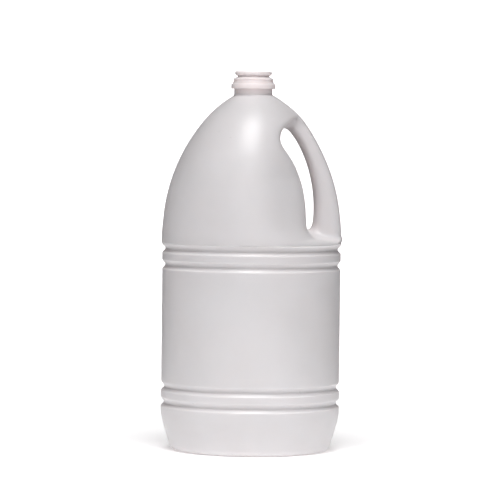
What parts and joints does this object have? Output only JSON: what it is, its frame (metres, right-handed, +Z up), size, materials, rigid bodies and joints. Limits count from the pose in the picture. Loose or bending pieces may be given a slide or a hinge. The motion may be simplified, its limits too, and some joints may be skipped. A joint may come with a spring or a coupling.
{
  "type": "plastic jug",
  "caption": "Round blow-moulded plastic jug with a hollow built-in handle, grooved body, tapered foot and short beaded neck.",
  "frame": {"origin": "centre of the base, on the surface that the jug stands on", "axes": "+Z up along the jug's axis, +X towards the handle, +Y completes a right-handed set"},
  "size_m": [0.1641, 0.1638, 0.3463],
  "materials": {
    "milky_plastic": "satin, milky, faintly translucent"
  },
  "bodies": {
    "root": {"jug": "milky_plastic"}
  },
  "joints": []
}
